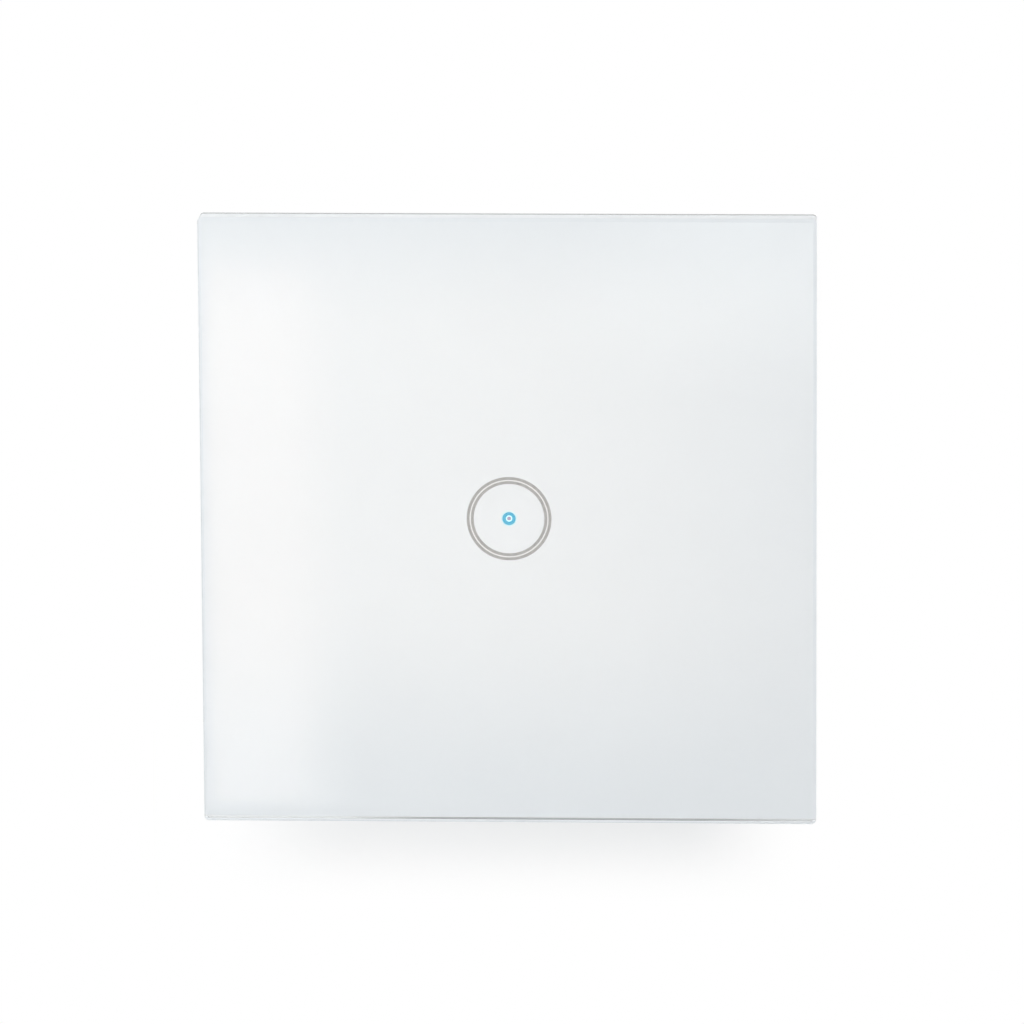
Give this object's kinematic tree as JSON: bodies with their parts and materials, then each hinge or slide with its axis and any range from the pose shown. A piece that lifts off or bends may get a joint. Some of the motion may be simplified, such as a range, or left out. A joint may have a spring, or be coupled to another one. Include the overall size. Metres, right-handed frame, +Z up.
{
  "type": "touch light switch",
  "caption": "Wall touch light switch: a square white glass panel with a printed ring and lit dot, snapped over a flush module with relay and screw terminals.",
  "frame": {"origin": "middle of the mounting plate's back face, which lies on the wall", "axes": "+X to the right and +Z up as seen from the room, +Y into the wall"},
  "size_m": [0.08, 0.033, 0.08],
  "materials": {
    "glass": "clear float glass, polished edges",
    "white_paint": "white enamel on the back of the glass",
    "grey_ink": "grey printed line",
    "adhesive": "white foam tape",
    "white_plastic": "moulded, fine satin",
    "grey_plastic": "moulded, light grey, fine satin",
    "zinc_steel": "pressed and zinc plated",
    "screw_steel": "zinc plated",
    "board": "glass epoxy board with green solder mask",
    "white_board": "glass epoxy board with white solder mask",
    "clear_plastic": "clear moulded plastic, frosted",
    "led": "lit blue indicator",
    "spring_wire": "tinned spring wire",
    "chip_black": "moulded epoxy",
    "black_plastic": "moulded",
    "gold_pin": "gold plated",
    "tin": "tinned copper",
    "insulation": "thin insulating film",
    "terminal_green": "moulded, satin",
    "brass": "nickel plated where it clamps",
    "relay_blue": "moulded",
    "soft_iron": "nickel plated iron",
    "copper": "enamelled copper wire or copper alloy",
    "silver": "contact silver",
    "ferrite": "sintered ferrite",
    "winding_tape": "yellow film tape over the winding",
    "capacitor_grey": "box potted in epoxy",
    "can_sleeve": "shrunk sleeve over an aluminium can",
    "varistor_blue": "dipped epoxy"
  },
  "bodies": {
    "module": {"front_cover": "white_plastic", "case_screws": "screw_steel", "touch_board": "white_board", "indicator_led": "led", "light_guide": "clear_plastic", "touch_spring": "spring_wire", "touch_chip": "chip_black", "touch_board_parts": "chip_black", "mounting_plate": "zinc_steel", "header_body": "black_plastic", "header_pins": "gold_pin", "header_socket": "black_plastic", "insulation_sheet": "insulation", "rear_housing": "grey_plastic", "board_screws": "screw_steel", "power_board": "board", "component_pins": "tin", "terminal_tabs": "tin", "terminal_block": "terminal_green", "relay_base": "black_plastic", "relay_cover": "relay_blue", "relay_yoke": "soft_iron", "relay_core": "soft_iron", "relay_bobbin": "white_plastic", "relay_coil": "copper", "relay_fixed_contact": "silver", "transformer_core": "ferrite", "transformer_bobbin": "black_plastic", "transformer_winding": "winding_tape", "film_capacitor": "capacitor_grey", "smoothing_capacitors": "can_sleeve", "varistor": "varistor_blue", "fuse": "black_plastic", "bridge_rectifier": "chip_black", "power_chip": "chip_black"},
    "panel": {"glass_panel": "glass", "white_back_print": "white_paint", "touch_ring_print": "grey_ink", "panel_adhesive": "adhesive", "panel_frame": "white_plastic"},
    "armature": {"relay_armature": "soft_iron", "relay_contact_blade": "copper", "relay_moving_contact": "silver"},
    "screw_1": {"terminal_screw_1": "screw_steel"},
    "cage_1": {"terminal_cage_1": "brass"},
    "screw_2": {"terminal_screw_2": "screw_steel"},
    "cage_2": {"terminal_cage_2": "brass"},
    "screw_3": {"terminal_screw_3": "screw_steel"},
    "cage_3": {"terminal_cage_3": "brass"}
  },
  "joints": [
    {"name": "panel_pull", "type": "slide", "parent": "module", "child": "panel", "axis": [0, -1, 0], "range_m": [0, 0.024]},
    {"name": "armature_tip", "type": "hinge", "parent": "module", "child": "armature", "pos_m": [-0.0195, 0.0168, 0.00675], "axis": [0, 0, -1], "range_deg": [0, 4], "stiffness_Nm_per_rad": 0.01, "springref_deg": -4.98},
    {"name": "screw_1_turn", "type": "hinge", "parent": "module", "child": "screw_1", "pos_m": [-0.00762, 0.0155, -0.0201], "axis": [0, -1, 0], "range_deg": [0, 2160]},
    {"name": "cage_1_lift", "type": "slide", "parent": "module", "child": "cage_1", "axis": [0, 1, 0], "range_m": [0, 0.003]},
    {"name": "screw_2_turn", "type": "hinge", "parent": "module", "child": "screw_2", "pos_m": [0, 0.0155, -0.0201], "axis": [0, -1, 0], "range_deg": [0, 2160]},
    {"name": "cage_2_lift", "type": "slide", "parent": "module", "child": "cage_2", "axis": [0, 1, 0], "range_m": [0, 0.003]},
    {"name": "screw_3_turn", "type": "hinge", "parent": "module", "child": "screw_3", "pos_m": [0.00762, 0.0155, -0.0201], "axis": [0, -1, 0], "range_deg": [0, 2160]},
    {"name": "cage_3_lift", "type": "slide", "parent": "module", "child": "cage_3", "axis": [0, 1, 0], "range_m": [0, 0.003]}
  ],
  "couplings": [
    {"joint": "screw_1_turn", "follows": "cage_1_lift", "rad_per_m": 12566},
    {"joint": "screw_2_turn", "follows": "cage_2_lift", "rad_per_m": 12566},
    {"joint": "screw_3_turn", "follows": "cage_3_lift", "rad_per_m": 12566}
  ]
}
